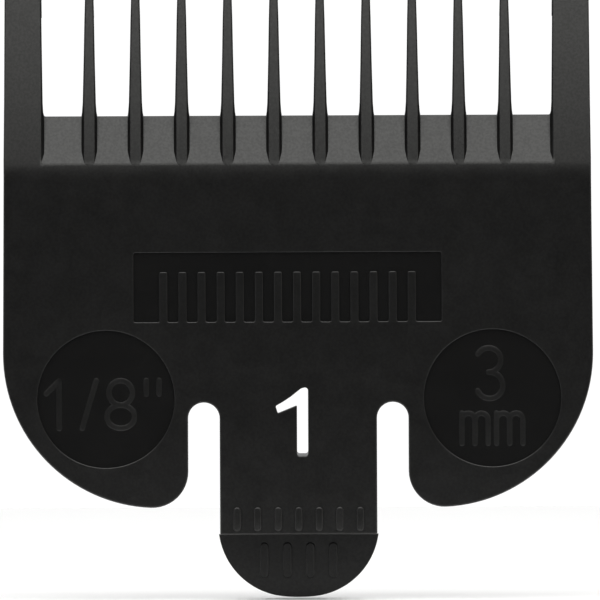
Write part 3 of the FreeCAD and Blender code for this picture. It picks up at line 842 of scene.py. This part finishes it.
def make_inch_mark():
    """1/8 and two ticks, in the left recess."""
    x, z = MARK_SHIFT - MARK_CENTRE_X, MARK_CENTRE_Z
    top, foot = z + 1.45, z - 2.25
    stem = x - 3.65
    strokes = [draw_stroke("flag", (stem - 1.0, top - 1.0), [(stem, top)])]
    strokes.append(draw_stroke("stem", (stem, top), [(stem, foot)]))
    strokes.append(draw_stroke("slash", (x - 1.85, foot), [(x - 0.75, top)]))
    for centre, half_high, half_wide in ((z + 0.5, 0.95, 0.92), (z - 1.36, 0.9, 1.08)):
        loop = ellipse_points((x + 1.15, centre), half_wide, half_high)
        strokes.append(draw_stroke("loop", loop[0], loop[1:]))
    for tick in (3.15, 4.15):
        strokes.append(draw_stroke("tick", (x + tick, top), [(x + tick, top - 1.05)]))
    ride_comb(join("inch_mark_raised", strokes), "inch_mark", RAISED_PAINTED_LIGHTER, smooth=60)


def make_metric_mark():
    """3 mm on two lines, in the right recess."""
    x, z = MARK_SHIFT + MARK_CENTRE_X, MARK_CENTRE_Z
    upper, lower = (x - 0.3, z + 2.95), (x - 0.22, z + 0.97)
    bowls = [((x - 1.12, z + 3.43), [(upper, -240, 18)]), ((x - 0.22, z + 2.0), [(lower, -245, 20)])]
    strokes = [draw_stroke("bowl", start, moves) for start, moves in bowls]
    foot, top = z - 3.55, z - 1.2
    for left in (x - 2.4, x + 0.3):
        strokes += letter_m(left, foot, 2.05, top)
    ride_comb(join("metric_mark_raised", strokes), "metric_mark", RAISED_PAINTED_LIGHTER, smooth=60)


# The release tongue.

def make_tongue():
    """The tongue with the lower part of the number, divided where it bends."""
    low, high = TONGUE_LOW, TONGUE_HIGH
    pen = Pen("spring_tongue_moulded", (low.x, SEAM), in_front_view)
    pen.line((high.x, SEAM), (high.x, low.z), (low.x, low.z))
    bends = [SEAM - FLEX_STEP * step for step in range(1, FLEX_STEPS + 1)]
    tongue = pen.fill(*bends).thicken(FACE, high.y)
    round_edges(tongue, is_tongue_rim, EDGE_ROUND, 4)
    combine(tongue, digit_cutter())
    round_edges(tongue, is_sunk_rim, RIM_ROUND, 4, clamp=False)
    finish(tongue, "spring_tongue", SATIN, smooth=25)
    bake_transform(tongue)


def is_tongue_rim(edge):
    middle = middle_of(edge)
    on_side = abs(abs(middle.x) - TONGUE_HIGH.x) < 1e-3
    at_foot = abs(middle.z - TONGUE_LOW.z) < 1e-3
    return is_sharp(edge) and (on_side or at_foot) and middle.z < SEAM - 1e-3


def make_heel_wall():
    """The wall between the tongue and the tab. It runs a little way into both."""
    inset, over = 0.12, 0.3
    wall = block("heel_wall_moulded", (WALL_LOW.x + inset, WALL_LOW.y - over, WALL_LOW.z + inset),
                 (WALL_HIGH.x - inset, WALL_HIGH.y + over, WALL_HIGH.z))
    round_edges(wall, is_across, 0.18)
    ride_tongue(wall, "heel_wall", SATIN)


def make_thumb_tab():
    """A half-round tab: square shoulders, round sides and a slightly flatter foot."""
    shoulder = TAB_SHOULDER - TAB_SIDE_CENTRE[1]
    foot = (0, TAB_LOW.z + TAB_FOOT_RADIUS)
    lean = math.degrees(math.atan2(TAB_SIDE_CENTRE[0], foot[1] - TAB_SIDE_CENTRE[1]))
    stop = math.degrees(math.asin(shoulder / TAB_SIDE_RADIUS))
    pen = Pen("thumb_tab_moulded", (0, TAB_LOW.z), in_front_view)
    pen.arc(foot, lean, 5)
    pen.arc(TAB_SIDE_CENTRE, 90 - lean + stop, 24)
    pen.line((TONGUE_HIGH.x, TAB_SHOULDER), (TONGUE_HIGH.x, TAB_HIGH.z), (0, TAB_HIGH.z))
    tab = pen.mirror().fill().thicken(TAB_LOW.y, TAB_HIGH.y)
    round_edges(tab, lambda edge: is_across(edge) and middle_of(edge).z > TAB_HIGH.z - 0.01, 0.5, 5)
    round_edges(tab, lambda edge: is_sharp(edge) and not is_across(edge), 0.06)
    ride_tongue(tab, "thumb_tab", SATIN)


def make_catch_lip():
    """The lip that holds the blade's heel: it slopes on its far side, and its foot is sunk in the tab."""
    low, high = LIP_LOW, LIP_HIGH
    foot = low.z - 0.3
    reach = high.y - 0.25
    pen = Pen("catch_lip_moulded", (low.y, foot), in_side_view)
    pen.line((reach, foot), (reach, low.z), (low.y + 0.3, high.z), (low.y, high.z))
    lip = pen.fill().thicken(low.x, high.x)
    round_edges(lip, lambda edge: is_sharp(edge) and middle_of(edge).z > low.z - 0.1, 0.08)
    ride_tongue(lip, "catch_lip", SATIN)


def make_bars(node, count, pitch, width, low, length, surface):
    """A row of upright grip bars with round ends and soft tops."""
    half = width / 2
    top = surface - BAR_HEIGHT
    pen = Pen("bar", (-half, low + half), in_front_view)
    pen.arc((0, low + half), 180, 8)
    pen.line((half, low + length - half))
    pen.arc((0, low + length - half), 180, 8)
    bar = pen.fill().thicken(top, surface + 0.05)
    round_edges(bar, lambda edge: is_sharp(edge) and middle_of(edge).y < top + 0.01, 0.1)
    places = [pitch * (index - (count - 1) / 2) for index in range(count)]
    bars = [copy_of(bar, "bar_copy", place) for place in places]
    bpy.data.objects.remove(bar)
    ride_tongue(join(f"{node}_moulded", bars), node, RAISED_PAINTED_LIGHTER)


# The studio.

WHITE = (1, 1, 1, 1)
CAMERA_DISTANCE, FRAME_WIDTH, SENSOR_WIDTH = 0.9, 46.76 * MM, 36.0
CAMERA_X, CAMERA_Z = 0.17 * MM, -1.42 * MM
LEAN = 0.24                             # how far the comb leans to the left in the frame, in degrees


def make_floor():
    """A pale floor just under the comb, for a faint reflection."""
    deselect_all()
    low = cad_low.z - 0.0001
    front, back = -0.04, 0.4
    bpy.ops.mesh.primitive_plane_add(size=1, location=(0, (front + back) / 2, low))
    floor = bpy.context.object
    floor.name = "floor"
    floor.scale = (2.4, back - front, 1)
    apply_placement()
    material = bpy.data.materials.new("pale_floor")
    material.use_nodes = True
    shader = material.node_tree.nodes["Principled BSDF"]
    shader.inputs["Base Color"].default_value = (0.9, 0.9, 0.9, 1)
    shader.inputs["Roughness"].default_value = 0.35
    floor.data.materials.append(material)


def make_softbox(name, azimuth, elevation, distance, width, height, power, colour=(1, 1, 1)):
    """A soft rectangular light that looks at the comb. Azimuth 0 is in front of the outer face."""
    turn, rise = math.radians(azimuth), math.radians(elevation)
    way = Vector((math.sin(turn) * math.cos(rise), -math.cos(turn) * math.cos(rise), math.sin(rise)))
    light = bpy.data.lights.new(name, "AREA")
    light.shape = "RECTANGLE"
    light.size, light.size_y = width, height
    light.energy = power
    light.color = colour
    lamp = bpy.data.objects.new(name, light)
    lamp.location = way * distance
    lamp.rotation_euler = way.to_track_quat("Z", "Y").to_euler()
    lamp.visible_camera = False
    bpy.context.collection.objects.link(lamp)


def make_world():
    """White where the camera looks past the comb; for light, bright behind the comb and dim in front."""
    world = bpy.data.worlds.new("studio")
    world.use_nodes = True
    bpy.context.scene.world = world
    nodes = Nodes(world.node_tree)
    world.node_tree.nodes.clear()
    place = nodes.add("ShaderNodeTexCoord").outputs["Generated"]
    way = nodes.add("ShaderNodeSeparateXYZ", {"Vector": place})
    behind = nodes.between(way.outputs["Y"], 0.1, 1.1, 0.35, 0.97)
    above = nodes.between(way.outputs["Z"], 0, 1.6, 0.6, 0.95)
    strength = nodes.add("ShaderNodeMath", {0: behind, 1: above}, operation="ADD").outputs[0]
    studio = nodes.add("ShaderNodeBackground", {"Color": WHITE, "Strength": strength})
    white = nodes.add("ShaderNodeBackground", {"Color": WHITE, "Strength": 1.05})
    seen = nodes.add("ShaderNodeLightPath").outputs["Is Camera Ray"]
    mix = nodes.add("ShaderNodeMixShader", {0: seen, 1: studio.outputs[0], 2: white.outputs[0]})
    nodes.add("ShaderNodeOutputWorld", {"Surface": mix.outputs[0]})


def make_camera():
    """A long lens level with the comb. The frame crops the tooth tips."""
    data = bpy.data.cameras.new("camera")
    data.sensor_width = SENSOR_WIDTH
    data.lens = SENSOR_WIDTH * CAMERA_DISTANCE / FRAME_WIDTH
    data.clip_start, data.clip_end = 0.05, 20
    camera = bpy.data.objects.new("camera", data)
    camera.location = (CAMERA_X, FACE * MM - CAMERA_DISTANCE, CAMERA_Z)
    camera.rotation_euler = (math.pi / 2, math.radians(LEAN), 0)
    bpy.context.collection.objects.link(camera)
    bpy.context.scene.camera = camera


def make_studio():
    make_floor()
    make_world()
    make_softbox("key_softbox", 0, 51, 0.6, 0.8, 0.665, 3.15, (1, 1, 0.965))
    make_softbox("left_strip", -52, 14, 0.6, 0.22, 0.5, 0.4)
    make_softbox("right_strip", 52, 14, 0.6, 0.22, 0.5, 0.4, (1, 0.97, 0.9))
    make_camera()
    bpy.context.scene.view_settings.view_transform = "Standard"


make_plate()
make_web()
make_teeth()
make_rails()
make_inch_mark()
make_metric_mark()
make_tongue()
make_heel_wall()
make_thumb_tab()
make_catch_lip()
make_bars("tongue_grip", 7, 1.6, 0.62, -19.45, 1.9, FACE)
make_bars("tab_grip", 4, 1.8, 0.7, -23.2, 2.8, TAB_LOW.y)
make_studio()
